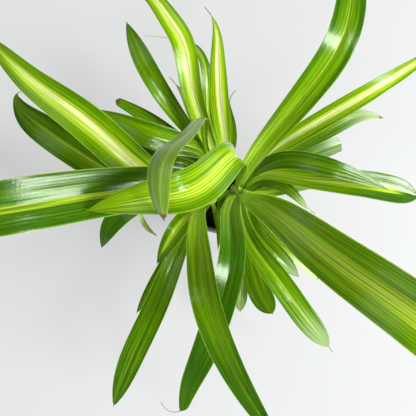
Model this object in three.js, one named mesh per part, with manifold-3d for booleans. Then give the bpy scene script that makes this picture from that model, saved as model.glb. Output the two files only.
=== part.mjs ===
// A spider plant in a small round pot.
// Millimetres, +Z up, origin in the middle of the pot's underside.
import * as THREE from 'three';
import Module from 'manifold-3d';
import { mergeVertices } from 'three/addons/utils/BufferGeometryUtils.js';

const wasm = await Module();
wasm.setup();

// ---- driving dimensions ------------------------------------------------------------
const POT_HEIGHT = 80;
const RIM_OUTER_R = 41.5;
const RIM_INNER_R = 38.9;
const RIM_OUTER_ROUND = 1;
const RIM_INNER_ROUND = 0.6;
const BASE_OUTER_R = 30;
const WALL = 2.6;
const FLOOR_THICKNESS = 5;
const FOOT_BEVEL = 1.5;
const DRAIN_HOLE_R = 3.5;
const DRAIN_HOLE_COUNT = 3;
const DRAIN_RING_R = 17;
const SOIL_TOP = 70;
const SOIL_SHOULDER = 1;
// Clear space left between neighbouring pieces.
const GAP = 0.3;
const LEAF_THICKNESS = 0.8;
const LEAF_EDGE_THICKNESS = 0.5;
// A leaf's width where it leaves the crown, and the most that may be of its full width.
const ROOT_WIDTH = 7.5;
const ROOT_WIDTH_LIMIT = 0.6;
// Width of the dry thread at a tip, and the share of it that is left at the very end.
const THREAD_WIDTH = 1.4;
const THREAD_END_SHARE = 0.6;
// A blade is folded along its midrib; the fold opens out by this share of the length.
const BASE_FOLD_DEG = 26;
const TIP_FOLD_DEG = 9;
const FOLD_OPENS_BY = 0.625;
// Sections along a blade: their spacing, the fewest and the most, and how far the
// last one before the tip stands from it, in spacings.
const SECTION_SPACING = 22;
const FEWEST_SECTIONS = 7;
const MOST_SECTIONS = 15;
const TIP_SECTION_SPACING = 0.45;
const MIDRIB_SAMPLES = 160;
const ROUND_SEGMENTS = 48;
const CROWN_SEGMENTS = 24;
const DRAIN_HOLE_SEGMENTS = 16;
const WELD_DISTANCE = 1e-4;

// The short swollen stems that the leaves grow from: three plantlets in one pot.
const CROWNS = {
  main: { centre: [18, 4], radius: 9, height: 21 },
  west: { centre: [-12, -4], radius: 8, height: 17 },
  north: { centre: [0, 20], radius: 8.5, height: 17 },
};

// Every leaf runs through hand-placed points of its midrib, root first.
// width: at the widest place, which is at the share `widest` of the length.
// grow: above 1 keeps the root part narrow for longer. root: width at the root.
// blunt: 2 is a pointed leaf, more is rounder. cut: share of the outline kept.
// thread: share of the length where the dry thread at the tip starts.
// face: compass angle the leaf leans to when it leaves the stem (its back faces there).
// roll: turn about the midrib that has built up at the tip, degrees.
const LEAVES = [
  // main plantlet, anticlockwise from the east
  {
    name: 'leaf_east_dark', crown: 'main', width: 17, widest: 0.5,
    path: [[23.5, 3.8, 82], [35, 22, 120], [58, 27.5, 150], [90, 20, 162], [122, 10, 155],
      [147, 1.5, 145]],
  },
  {
    name: 'leaf_east_wide', crown: 'main', width: 26, widest: 0.76, blunt: 3.2, grow: 1.5,
    path: [[24.8, 4.8, 80], [40, 17.5, 106], [72, 13.5, 125], [110, 9, 137], [148, 4, 134],
      [187, -4, 120]],
  },
  {
    name: 'leaf_east_low', crown: 'main', width: 11, widest: 0.6,
    path: [[25.5, 3, 74], [50, 2, 90], [77, 7, 93], [101, 7, 88]],
  },
  {
    name: 'leaf_east_twisted', crown: 'main', width: 13, widest: 0.58, thread: 0.93,
    path: [[24.5, 1.5, 76], [32, 4.2, 88], [41, 9.5, 98], [60, 6.5, 101], [77, -5, 96], [90, -16, 89],
      [97, -21, 87]],
  },
  {
    name: 'leaf_right_cut_tip', crown: 'main', width: 17.5, widest: 0.66, cut: 0.78,
    path: [[24, 8.5, 73], [42, 17, 87], [70, 32, 97], [99, 43, 102], [119, 50, 101]],
  },
  {
    name: 'leaf_right_pale_tip', crown: 'main', width: 16, widest: 0.62, blunt: 2.8,
    path: [[23.5, 8.5, 78], [42, 23.5, 96], [68, 43, 105], [103, 61, 116], [133, 74.5, 115],
      [159, 74, 106]],
  },
  {
    name: 'leaf_right_upper', crown: 'main', width: 18, widest: 0.42,
    path: [[19.5, 11.5, 79], [50, 41.5, 115], [83, 61.5, 140], [119, 82, 152], [169, 113, 150],
      [206, 140, 135]],
  },
  {
    name: 'leaf_north_east', crown: 'main', width: 26, widest: 0.6, root: 9,
    path: [[18.5, 9, 85], [24.5, 27, 125], [42, 51, 165], [64, 78, 195], [82, 106, 208],
      [91, 139, 208], [92, 185, 192], [86, 226, 162]],
  },
  {
    name: 'young_spear', crown: 'main', width: 3.6, widest: 0.3, root: 3, face: 200,
    path: [[17, 3.5, 86], [12.5, 7.5, 130], [8.5, 12, 172]],
  },
  {
    name: 'leaf_over_left', crown: 'main', width: 24.5, widest: 0.76, blunt: 1.8, grow: 1.6,
    face: 212,
    path: [[13.5, 6.5, 83], [14.5, 15.5, 140], [10, 22.5, 195], [1.5, 20, 236], [-9, 8, 262],
      [-27, -5.5, 283], [-46, -9, 286], [-63, -12, 285], [-83, -16, 279]],
  },
  {
    name: 'leaf_south_dark', crown: 'main', width: 27, widest: 0.4, blunt: 3.6, cut: 0.96,
    grow: 0.7, thread: 0.915,
    path: [[16.5, 0.5, 84], [7, -21, 115], [7, -53, 140], [-2, -96, 148], [-20, -152, 135],
      [-36, -200, 115], [-42, -213, 110], [-52, -214, 108], [-61, -205, 107]],
  },
  {
    name: 'leaf_middle_short', crown: 'main', width: 15, widest: 0.45, root: 9, face: 225,
    path: [[10.5, 0, 80], [3.5, -3.5, 92], [0.5, -12, 99], [3, -26, 103], [7, -42, 103],
      [11, -60, 97]],
  },
  {
    name: 'leaf_south_small', crown: 'main', width: 15, widest: 0.75, blunt: 4,
    path: [[16.5, -3.5, 73], [18, -46, 86], [19, -83, 92], [19, -122, 88]],
  },
  {
    name: 'leaf_south_blunt', crown: 'main', width: 24, widest: 0.66, blunt: 5,
    path: [[18.5, -3, 75], [23.5, -32.5, 89], [29.5, -71, 101], [40.5, -104, 98], [52.5, -123, 91]],
  },
  {
    name: 'leaf_south_striped', crown: 'main', width: 22.5, widest: 0.62, blunt: 4.6,
    thread: 0.965,
    path: [[20, -3.5, 80], [27, -46, 112], [48, -77, 127], [76, -116, 124], [103, -149, 107],
      [110, -158, 103]],
  },
  {
    name: 'leaf_low_short', crown: 'main', width: 18, widest: 0.6, blunt: 2.4,
    path: [[24.5, -1.5, 78], [34, -37.5, 101], [52, -59, 109], [78, -84.5, 97]],
  },
  {
    name: 'leaf_low_yellow', crown: 'main', width: 15, widest: 0.5, cut: 0.93,
    path: [[25.3, 0, 72.3], [35, -21, 82], [48, -43, 94], [69, -60.5, 99], [99.5, -87, 91]],
  },
  {
    name: 'leaf_south_east', crown: 'main', width: 31, widest: 0.68, root: 9, grow: 1.2,
    path: [[20.5, 1.5, 85], [24, -8, 150], [37, -21.5, 230], [57, -43, 281], [87, -67.5, 312],
      [130, -104, 318], [178, -142, 296]],
  },
  // west plantlet
  {
    name: 'leaf_far_left', crown: 'west', width: 30, widest: 0.66,
    path: [[-13.5, -3, 84], [-24, 1, 160], [-42, 0, 232], [-74, -5, 264], [-121, -15, 299],
      [-165, -24, 308], [-212, -34, 288]],
  },
  {
    name: 'leaf_upper_left', crown: 'west', width: 30, widest: 0.5, blunt: 1.8,
    path: [[-16.5, 0, 80], [-43, 2, 150], [-69, 17, 180], [-106, 50, 195], [-152, 84.5, 195],
      [-178, 109, 188], [-205, 132, 176]],
  },
  {
    name: 'leaf_left_dark', crown: 'west', width: 28, widest: 0.62, blunt: 3, thread: 0.965,
    path: [[-18, -2.5, 74.5], [-69, 3, 118], [-118, 27, 148], [-157, 53.5, 151], [-187.5, 83, 138],
      [-188.5, 88.5, 136.5], [-185, 92, 136], [-178, 90, 135]],
  },
  {
    name: 'leaf_left_nodding', crown: 'west', width: 21, widest: 0.6, blunt: 2.6,
    path: [[-18, -3.4, 79.5], [-44, -7, 127], [-72, -8, 152], [-95, -26, 157], [-111, -51, 138]],
  },
  {
    name: 'leaf_left_small', crown: 'west', width: 9.5, widest: 0.72, roll: 80,
    path: [[-18, -5.5, 71.5], [-50, -15, 101], [-78, -19, 114], [-74, -34, 104], [-65, -43, 98]],
  },
  {
    name: 'leaf_south_west_short', crown: 'west', width: 18, widest: 0.5,
    path: [[-14.7, -9.2, 80.5], [-29, -18.5, 104], [-45, -37, 129], [-63.5, -68.5, 115]],
  },
  {
    name: 'leaf_south_west_under', crown: 'west', width: 16, widest: 0.6, blunt: 2.5,
    path: [[-14.5, -10, 74.5], [-33, -29.5, 89], [-54, -68.5, 100], [-88, -123, 88]],
  },
  {
    name: 'leaf_south_west', crown: 'west', width: 23, widest: 0.6, blunt: 3,
    path: [[-13.5, -9.5, 76], [-31, -32, 102], [-59, -97.5, 127], [-83.5, -150, 125],
      [-109, -214, 99]],
  },
  {
    name: 'leaf_south', crown: 'west', width: 25, widest: 0.42,
    path: [[-13, -7.5, 83], [-21, -18, 112], [-23, -34, 138], [-21, -56, 160],
      [-16.5, -85, 180], [0, -133, 180], [30, -190, 165], [56, -236, 138]],
  },
  {
    name: 'leaf_south_thin', crown: 'west', width: 6, widest: 0.5, root: 4,
    path: [[-9.5, -8, 76], [-6, -22, 85], [-3, -38, 88], [-4, -58, 85]],
  },
  // north plantlet
  {
    name: 'leaf_west_low', crown: 'north', width: 22, widest: 0.5,
    path: [[-7.5, 17, 76], [-27, 31.5, 90], [-62, 42, 101], [-97, 56, 100]],
  },
  {
    name: 'leaf_west_dark', crown: 'north', width: 24, widest: 0.55,
    path: [[-7, 19.5, 81], [-13, 32, 94], [-22, 42, 107], [-42, 47, 119], [-68, 53, 131],
      [-117, 78, 125]],
  },
  {
    name: 'leaf_west_cut_tip', crown: 'north', width: 14, widest: 0.5, cut: 0.85,
    path: [[-6.5, 23, 74], [-37, 49, 94], [-76, 75, 110], [-103, 89, 116]],
  },
  {
    name: 'leaf_north_west_pointed', crown: 'north', width: 18.5, widest: 0.7, blunt: 2.2,
    grow: 1.4,
    path: [[-4, 26, 78], [-24, 51.5, 96], [-48.5, 80, 128], [-69, 111.5, 142],
      [-89, 156, 135]],
  },
  {
    name: 'leaf_turned_back', crown: 'north', width: 15, widest: 0.84, blunt: 2.6, grow: 5,
    root: 5, face: 95,
    path: [[-2, 20, 84], [-14, 36, 135], [-17, 45, 205], [-19, 43, 248], [-29, 24, 284],
      [-38.5, 8, 302], [-39.5, -5, 303], [-38, -22, 286]],
  },
  {
    name: 'leaf_north_pale', crown: 'north', width: 9, widest: 0.6, thread: 0.92,
    path: [[-2, 27.2, 75], [-12, 50, 90], [-27, 72, 103], [-38, 95, 112], [-52, 114, 108]],
  },
  {
    name: 'leaf_north_west', crown: 'north', width: 20.5, widest: 0.55,
    path: [[-1, 25, 82], [-16, 55, 118], [-30.5, 98, 150], [-37, 129, 160], [-47, 146, 160],
      [-60, 165, 156], [-95, 196, 136]],
  },
  {
    name: 'leaf_north_arched', crown: 'north', width: 11, widest: 0.5, thread: 0.85,
    path: [[0.5, 26, 78.5], [-5, 50, 98], [-13, 74, 111], [-15, 106, 125], [-24, 133, 128],
      [-45, 146, 120], [-76, 153, 112]],
  },
  {
    name: 'leaf_north', crown: 'north', width: 17, widest: 0.5, thread: 0.94,
    path: [[4.2, 24.2, 81.5], [1, 51, 115], [-4, 80, 150], [-6, 110, 165], [-12, 151, 160],
      [-17.5, 159, 157]],
  },
  {
    name: 'leaf_north_narrow', crown: 'north', width: 9, widest: 0.5, thread: 0.88,
    path: [[5, 24, 77], [10, 53, 104], [8, 72, 118], [7, 90, 120], [12.5, 98, 118]],
  },
];

// ---- small tools ----------------------------------------------------------------------
const smooth = (x) => {
  const s = Math.min(Math.max(x, 0), 1);
  return s * s * (3 - 2 * s);
};

const mix = (a, b, share) => a + (b - a) * share;

/** Natural cubic spline through points, by chord length: returns position at 0..1. */
function splineThrough(points) {
  const count = points.length;
  const knots = [0];
  for (let i = 1; i < count; i += 1) {
    knots.push(knots[i - 1] + points[i].distanceTo(points[i - 1]));
  }
  const bends = ['x', 'y', 'z'].map((axis) => naturalBends(points.map((p) => p[axis]), knots));
  return (share) => {
    const s = share * knots[count - 1];
    let i = 1;
    while (i < count - 1 && s > knots[i]) i += 1;
    const h = knots[i] - knots[i - 1];
    const a = (knots[i] - s) / h;
    const b = 1 - a;
    const place = ['x', 'y', 'z'].map((axis, k) => {
      const bend = (a ** 3 - a) * bends[k][i - 1] + (b ** 3 - b) * bends[k][i];
      return a * points[i - 1][axis] + b * points[i][axis] + (bend * h * h) / 6;
    });
    return new THREE.Vector3(...place);
  };
}

/** Second derivatives of the natural spline through values at knots. */
function naturalBends(values, knots) {
  const count = values.length;
  const bends = new Array(count).fill(0);
  const carry = new Array(count).fill(0);
  for (let i = 1; i < count - 1; i += 1) {
    const share = (knots[i] - knots[i - 1]) / (knots[i + 1] - knots[i - 1]);
    const pivot = share * bends[i - 1] + 2;
    const slopeAfter = (values[i + 1] - values[i]) / (knots[i + 1] - knots[i]);
    const slopeBefore = (values[i] - values[i - 1]) / (knots[i] - knots[i - 1]);
    bends[i] = (share - 1) / pivot;
    const pull = (6 * (slopeAfter - slopeBefore)) / (knots[i + 1] - knots[i - 1]);
    carry[i] = (pull - share * carry[i - 1]) / pivot;
  }
  for (let i = count - 2; i > 0; i -= 1) {
    bends[i] = bends[i] * bends[i + 1] + carry[i];
  }
  return bends;
}

/** Positions, directions, sides and ups along a leaf, evenly spaced by length. */
function midribFrames(leaf, shares) {
  const place = splineThrough(leaf.path.map((p) => new THREE.Vector3(...p)));
  const track = [];
  const run = [0];
  for (let i = 0; i <= MIDRIB_SAMPLES; i += 1) {
    track.push(place(i / MIDRIB_SAMPLES));
    if (i > 0) run.push(run[i - 1] + track[i].distanceTo(track[i - 1]));
  }
  const first = track[0];
  const last = track[MIDRIB_SAMPLES];
  const lean = leaf.face === undefined
    ? Math.atan2(last.y - first.y, last.x - first.x)
    : THREE.MathUtils.degToRad(leaf.face);
  const side = new THREE.Vector3(Math.sin(lean), -Math.cos(lean), 0);
  const frames = [];
  let next = 0;
  for (let i = 0; i <= MIDRIB_SAMPLES; i += 1) {
    const before = track[Math.max(i - 1, 0)];
    const after = track[Math.min(i + 1, MIDRIB_SAMPLES)];
    const along = after.clone().sub(before).normalize();
    side.addScaledVector(along, -side.dot(along)).normalize();
    while (next < shares.length && shares[next] * run[MIDRIB_SAMPLES] <= run[i] + 1e-9) {
      const up = side.clone().cross(along);
      frames.push({ at: track[i].clone(), along, side: side.clone(), up });
      next += 1;
    }
  }
  return frames;
}

/** Share of the full width that a leaf has at a share of its length. */
function outline(leaf, share) {
  const { width, widest, blunt = 2, cut = 1, grow = 1 } = leaf;
  const root = Math.min(leaf.root ?? ROOT_WIDTH, ROOT_WIDTH_LIMIT * width) / width;
  const t = share * cut;
  if (t < widest) return mix(root, 1, Math.sin((Math.PI / 2) * (t / widest) ** grow));
  return 1 - ((t - widest) / (1 - widest)) ** blunt;
}

/** Shares of the length where a leaf's sections stand; closer together at the tip. */
function stations(leaf) {
  const length = leaf.path.slice(1).reduce((sum, p, i) => (
    sum + Math.hypot(p[0] - leaf.path[i][0], p[1] - leaf.path[i][1], p[2] - leaf.path[i][2])
  ), 0);
  const spaced = Math.round(length / SECTION_SPACING);
  const count = THREE.MathUtils.clamp(spaced, FEWEST_SECTIONS, MOST_SECTIONS);
  const even = Array.from({ length: count }, (_, i) => i / count);
  const living = leaf.thread ?? 1;
  const shares = even.map((s) => s * living);
  shares.push(living * (1 - TIP_SECTION_SPACING / count));
  if (leaf.thread !== undefined) shares.push(living, mix(living, 1, 0.5));
  shares.push(1);
  return shares;
}

/** A leaf: a thin blade with a channel down its middle, closed all round. */
function bladeGeometry(leaf) {
  const shares = stations(leaf);
  const frames = midribFrames(leaf, shares);
  const living = leaf.thread ?? 1;
  const positions = [];
  frames.forEach(({ at, along, side, up }, i) => {
    const share = shares[i];
    const blade = share < living ? leaf.width * outline(leaf, share / living) : 0;
    const half = Math.max(blade, THREAD_WIDTH * mix(1, THREAD_END_SHARE, share)) / 2;
    const opening = smooth(share / FOLD_OPENS_BY);
    const fold = THREE.MathUtils.degToRad(mix(BASE_FOLD_DEG, TIP_FOLD_DEG, opening));
    const roll = THREE.MathUtils.degToRad((leaf.roll ?? 0) * smooth(share));
    const across = side.clone().applyAxisAngle(along, roll);
    const lift = up.clone().applyAxisAngle(along, roll);
    const column = (offset, rise, thickness) => {
      const middle = at.clone().addScaledVector(across, offset).addScaledVector(lift, rise);
      positions.push(middle.clone().addScaledVector(lift, thickness / 2).toArray());
      positions.push(middle.clone().addScaledVector(lift, -thickness / 2).toArray());
    };
    const reach = half * Math.cos(fold);
    const rise = half * Math.sin(fold);
    column(-reach, rise, LEAF_EDGE_THICKNESS);
    column(0, 0, LEAF_THICKNESS);
    column(reach, rise, LEAF_EDGE_THICKNESS);
  });
  return skinSections(positions, frames.length);
}

/**
 * Joins blade sections into one closed skin. A section's points are listed as top and
 * bottom of the left edge, of the midrib and of the right edge.
 */
function skinSections(positions, sectionCount) {
  const ring = [0, 2, 4, 5, 3, 1];
  const endTriangles = [[0, 1, 5], [1, 4, 5], [1, 2, 4], [2, 3, 4]];
  const size = ring.length;
  const index = [];
  const corner = (section, k) => section * size + ring[k % size];
  for (let s = 0; s + 1 < sectionCount; s += 1) {
    for (let k = 0; k < size; k += 1) {
      index.push(corner(s, k), corner(s + 1, k + 1), corner(s + 1, k));
      index.push(corner(s, k), corner(s, k + 1), corner(s + 1, k + 1));
    }
  }
  const lastSection = sectionCount - 1;
  endTriangles.forEach(([a, b, c]) => {
    index.push(corner(0, a), corner(0, c), corner(0, b));
    index.push(corner(lastSection, a), corner(lastSection, b), corner(lastSection, c));
  });
  const geometry = new THREE.BufferGeometry();
  geometry.setAttribute('position', new THREE.Float32BufferAttribute(positions.flat(), 3));
  geometry.setIndex(index);
  return geometry;
}

/** A solid turned about the upright axis through a centre. */
function turned(profile, segments, [x, y] = [0, 0]) {
  const lathe = new THREE.LatheGeometry(profile.map(([r, z]) => new THREE.Vector2(r, z)), segments);
  lathe.rotateX(Math.PI / 2);
  lathe.translate(x, y, 0);
  return lathe;
}

/** The same shape as a solid for cutting. */
function toSolid(geometry) {
  const bare = new THREE.BufferGeometry();
  bare.setAttribute('position', geometry.getAttribute('position'));
  bare.setIndex(geometry.getIndex());
  const welded = mergeVertices(bare, WELD_DISTANCE);
  return new wasm.Manifold(new wasm.Mesh({
    numProp: 3,
    vertProperties: new Float32Array(welded.getAttribute('position').array),
    triVerts: new Uint32Array(welded.getIndex().array),
  }));
}

/** A cut solid back as a geometry. */
function fromSolid(solid) {
  const mesh = solid.getMesh();
  const geometry = new THREE.BufferGeometry();
  geometry.setAttribute('position', new THREE.Float32BufferAttribute(mesh.vertProperties, 3));
  geometry.setIndex(Array.from(mesh.triVerts));
  return geometry;
}

// ---- materials --------------------------------------------------------------------------
function surface(name, colour, roughness) {
  const material = new THREE.MeshStandardMaterial({ color: colour, roughness, metalness: 0 });
  material.name = name;
  return material;
}

const buffStoneware = () => surface('buff_stoneware', 0xb9b295, 0.7);
const blackSoil = () => surface('black_soil', 0x14110e, 0.95);
const paleCrown = () => surface('pale_crown', 0xa9bd4a, 0.5);
const greenLeaf = () => surface('green_leaf', 0x5f8f12, 0.4);

// ---- sub-parts ----------------------------------------------------------------------------
const WALL_SLOPE = (RIM_OUTER_R - BASE_OUTER_R) / POT_HEIGHT;
const FLOOR_INNER_R = BASE_OUTER_R + WALL_SLOPE * FLOOR_THICKNESS - WALL;

/** Radius of the pot's inside at a height. */
function insideRadius(z) {
  const top = POT_HEIGHT - RIM_INNER_ROUND;
  return mix(FLOOR_INNER_R, RIM_INNER_R, (z - FLOOR_THICKNESS) / (top - FLOOR_THICKNESS));
}

function potGeometry() {
  const shell = turned([
    [0, 0],
    [BASE_OUTER_R - FOOT_BEVEL, 0],
    [BASE_OUTER_R, FOOT_BEVEL],
    [RIM_OUTER_R, POT_HEIGHT - RIM_OUTER_ROUND],
    [RIM_OUTER_R - 0.4 * RIM_OUTER_ROUND, POT_HEIGHT - 0.3 * RIM_OUTER_ROUND],
    [RIM_OUTER_R - RIM_OUTER_ROUND, POT_HEIGHT],
    [RIM_INNER_R + RIM_INNER_ROUND, POT_HEIGHT],
    [RIM_INNER_R, POT_HEIGHT - RIM_INNER_ROUND],
    [FLOOR_INNER_R, FLOOR_THICKNESS],
    [0, FLOOR_THICKNESS],
  ], ROUND_SEGMENTS);
  let pot = toSolid(shell);
  for (let i = 0; i < DRAIN_HOLE_COUNT; i += 1) {
    const angle = (i / DRAIN_HOLE_COUNT) * 2 * Math.PI;
    const hole = new THREE.CylinderGeometry(
      DRAIN_HOLE_R,
      DRAIN_HOLE_R,
      4 * FLOOR_THICKNESS,
      DRAIN_HOLE_SEGMENTS,
    );
    hole.rotateX(Math.PI / 2);
    hole.translate(DRAIN_RING_R * Math.cos(angle), DRAIN_RING_R * Math.sin(angle), 0);
    pot = pot.subtract(toSolid(hole));
  }
  return fromSolid(pot);
}

/** The soil fills the pot to SOIL_TOP, a gap clear of its floor and wall. */
function soilGeometry() {
  const bottom = FLOOR_THICKNESS + GAP;
  const shoulder = SOIL_TOP - SOIL_SHOULDER;
  return turned([
    [0, bottom],
    [insideRadius(bottom) - 2 * GAP, bottom],
    [insideRadius(shoulder) - 1.5 * GAP, shoulder],
    [insideRadius(SOIL_TOP) - 1.5 * GAP - SOIL_SHOULDER, SOIL_TOP],
    [0, SOIL_TOP],
  ], ROUND_SEGMENTS);
}

/** A crown, like half an egg standing on the soil, grown outwards by a clearance. */
function crownGeometry(crown, clearance = 0) {
  const { radius, height, centre } = crown;
  const foot = SOIL_TOP + GAP;
  // Shares of the radius and of the height, from the shoulder to near the top.
  const shoulders = [[1, 0.2], [0.9, 0.5], [0.66, 0.8], [0.36, 0.95]];
  return turned([
    [0, foot - clearance],
    [radius + clearance, foot - clearance],
    ...shoulders.map(([r, z]) => [r * radius + clearance, foot + z * (height + clearance)]),
    [0, foot + height + clearance],
  ], CROWN_SEGMENTS, centre);
}

/** A leaf cut off just outside the crown that it grows from. */
function rootedLeaf(leaf, crownCutters) {
  const blade = toSolid(bladeGeometry(leaf));
  return fromSolid(blade.subtract(crownCutters[leaf.crown]));
}

// ---- assembly -------------------------------------------------------------------------------
function named(name, geometry, material) {
  const welded = mergeVertices(geometry.deleteAttribute('uv'), WELD_DISTANCE);
  const faceted = welded.toNonIndexed();
  faceted.computeVertexNormals();
  const mesh = new THREE.Mesh(faceted, material);
  mesh.name = name;
  return mesh;
}

function build() {
  const plant = new THREE.Group();
  plant.name = 'potted_spider_plant';
  plant.add(named('pot', potGeometry(), buffStoneware()));
  plant.add(named('soil', soilGeometry(), blackSoil()));
  const cutters = {};
  Object.entries(CROWNS).forEach(([key, crown]) => {
    plant.add(named(`crown_${key}`, crownGeometry(crown), paleCrown()));
    cutters[key] = toSolid(crownGeometry(crown, GAP));
  });
  LEAVES.forEach((leaf) => {
    plant.add(named(leaf.name, rootedLeaf(leaf, cutters), greenLeaf()));
  });
  return plant;
}

export default build();
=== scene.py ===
"""A potted spider plant: striped arching leaves on three short crowns in a small round pot.

Metres, +Z up, origin in the middle of the pot's underside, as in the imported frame.
"""

import math

import bmesh
import bpy
import numpy as np
from mathutils import Matrix, Vector, noise


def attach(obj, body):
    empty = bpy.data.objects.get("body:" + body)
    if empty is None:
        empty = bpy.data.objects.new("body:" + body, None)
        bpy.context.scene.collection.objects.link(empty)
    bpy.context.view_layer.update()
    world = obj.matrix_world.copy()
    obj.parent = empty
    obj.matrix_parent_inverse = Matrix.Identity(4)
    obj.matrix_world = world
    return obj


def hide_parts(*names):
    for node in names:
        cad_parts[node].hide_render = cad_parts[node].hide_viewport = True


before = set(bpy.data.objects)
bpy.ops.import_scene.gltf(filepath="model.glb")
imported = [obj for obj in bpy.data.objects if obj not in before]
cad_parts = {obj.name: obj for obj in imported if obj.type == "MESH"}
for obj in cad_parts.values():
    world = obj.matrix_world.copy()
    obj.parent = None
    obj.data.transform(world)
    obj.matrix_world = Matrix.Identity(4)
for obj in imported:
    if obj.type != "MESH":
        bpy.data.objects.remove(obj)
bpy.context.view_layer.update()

MM = 0.001

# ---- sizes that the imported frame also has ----
POT_HEIGHT = 80 * MM
RIM_OUTER_R = 41.5 * MM
RIM_INNER_R = 38.9 * MM
BASE_OUTER_R = 30 * MM
WALL = 2.6 * MM
FLOOR_THICKNESS = 5 * MM
FOOT_EDGE_R = 1.5 * MM
OUTER_EDGE_R = 1 * MM
INNER_EDGE_R = 0.6 * MM
DRAIN_HOLE_R = 3.5 * MM
DRAIN_HOLE_COUNT = 3
DRAIN_RING_R = 17 * MM
SOIL_TOP = 70 * MM
SEAT_GAP = 0.3 * MM
# A leaf's width at its root in millimetres, and the largest share of its full width.
ROOT_WIDTH = 7.5
ROOT_WIDTH_LIMIT = 0.6
THREAD_WIDTH = 1.3 * MM
THREAD_END_SHARE = 0.5
BASE_FOLD = math.radians(26)
TIP_FOLD = math.radians(9)
FOLD_OPENS_BY = 0.625

# ---- sizes of the looks ----
LEAF_THICKNESS = 0.7 * MM
BLADE_COLUMNS = 33
ROW_SPACING = 2.8 * MM
FEWEST_ROWS, MOST_ROWS = 44, 130
MIDRIB_SAMPLES = 700
TIP_ROWS_CLOSER = 1.25
# Shares of a leaf's half width: how far its fold is rounded, its ridges and its ripple.
MIDRIB_SOFTNESS = 0.0775
RIDGE_DEPTH = 0.01
RIPPLE_DEPTH = 0.12
RIDGES_EACH_SIDE = 1.5
RIPPLES_PER_METRE = 22.0
# How far apart two leaves' patterns lie in the noise.
SEED_STEP = 3.7
TIP_ROUNDED_FROM = 0.975
# A blade is at full thickness from about 1 / END_TAPER of its length on.
END_TAPER = 60.0
MERGE_DISTANCE = 0.002 * MM
SHARP_ANGLE = math.radians(50)
# A dry share past the tip, for a leaf that is green to its end.
NEVER_DRY = 1.5

CROWN_LEVELS, CROWN_SEGMENTS = 26, 96
CROWN_SHOULDER = 2.6
SHEATH_TWIST = 1.4
SHEATH_STEP = 0.16
WALL_INSET = 0.02 * MM
WALL_STEPS, EDGE_POINTS = 24, 6
POT_SEGMENTS, DRILL_SEGMENTS = 128, 32
SOIL_SIDE_STEPS, SOIL_RINGS, SOIL_SEGMENTS = 11, 30, 120
# How far the soil stays clear of the pot's wall.
SOIL_FOOT_INSET, SOIL_SIDE_INSET, SOIL_TOP_INSET = 0.6 * MM, 0.5 * MM, 0.8 * MM
SOIL_BEVEL = 1 * MM
LUMPS_PER_METRE = 180
LUMP_HEIGHT, SMALL_LUMP_HEIGHT, LUMPS_SINK_BY = 1.1 * MM, 0.5 * MM, 0.7 * MM
SMALL_LUMPS_CLOSER = 3.1
CRUMBS_PER_SQUARE_METRE = 420000.0
SMALLEST_CRUMB, LARGEST_CRUMB = 0.5 * MM, 1.5 * MM
CRUMBS_REACH_DOWN = 4 * MM
CRUMB_SEED = 11

CROWNS = {
    "crown_main": dict(centre=(18, 4), radius=9, height=21, sheaths=7),
    "crown_west": dict(centre=(-12, -4), radius=8, height=17, sheaths=6),
    "crown_north": dict(centre=(0, 20), radius=8.5, height=17, sheaths=6),
}

# What a leaf is like unless its own row says otherwise.
USUAL_LEAF = dict(blunt=2, cut=1, grow=1, root=ROOT_WIDTH, thread=1, roll=0, fall=0.1, pale=0)
# The looks that a leaf hands to its material as they are.
LEAF_LOOKS = ("seed", "stripe", "light", "fall", "pale", "dry")

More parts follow.
